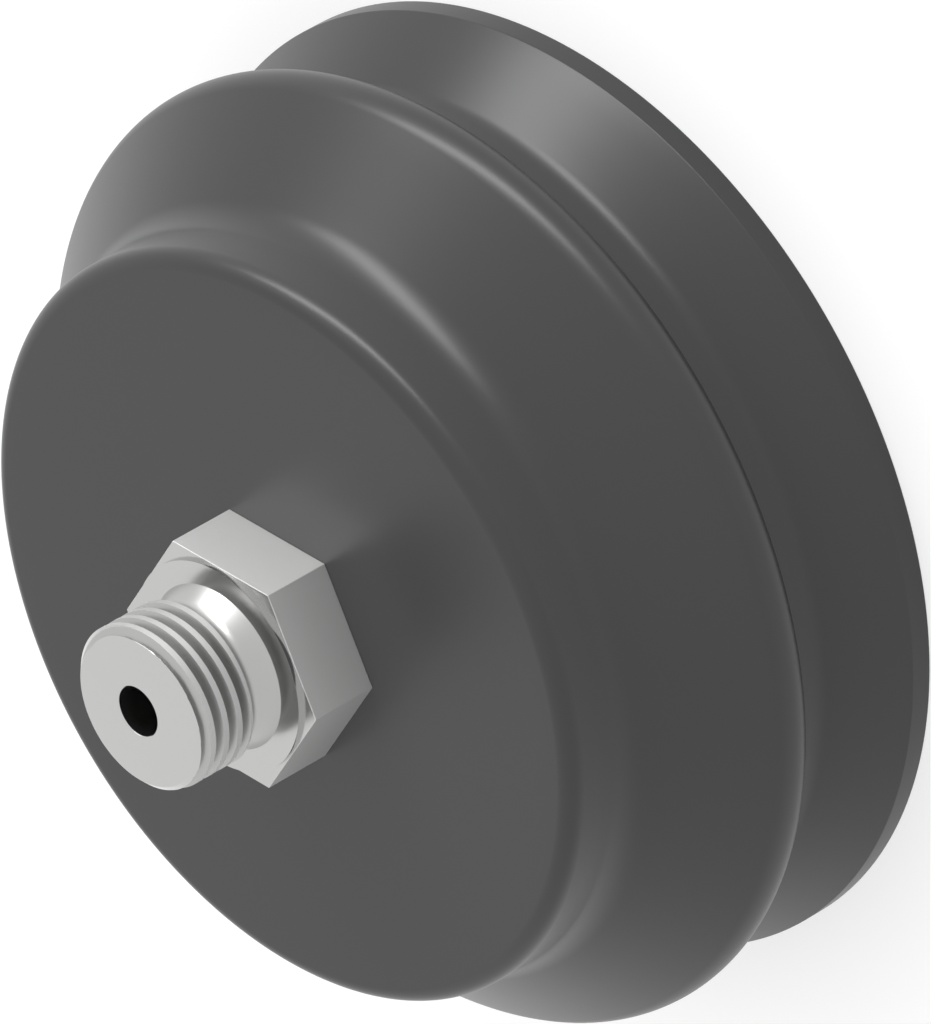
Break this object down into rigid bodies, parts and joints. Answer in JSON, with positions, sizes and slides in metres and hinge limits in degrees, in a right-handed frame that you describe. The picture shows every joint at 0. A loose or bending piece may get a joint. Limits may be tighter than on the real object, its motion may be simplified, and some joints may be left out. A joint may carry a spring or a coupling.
{
  "type": "bellows suction cup",
  "caption": "Round rubber bellows suction cup with a fold and a flared lip, clamped to a turned metal nipple with a hexagon, an outside pipe thread and an air bore through it.",
  "frame": {"origin": "centre of the lip's plane, which the cup stands on", "axes": "+Z along the cup's axis, from the lip towards the threaded end; two flats of the hexagon face +X and -X"},
  "size_m": [0.0758, 0.0758, 0.0433],
  "materials": {
    "rubber_cup": "smooth moulded, slightly satin",
    "nickel_plated_nipple": "turned and nickel plated, satin with bright edges",
    "aluminium_disc": "turned, satin",
    "steel_nut": "zinc plated, satin"
  },
  "bodies": {
    "root": {"bellows_cup": "rubber_cup", "nipple": "nickel_plated_nipple", "support_disc": "aluminium_disc", "clamp_nut": "steel_nut"}
  },
  "joints": []
}
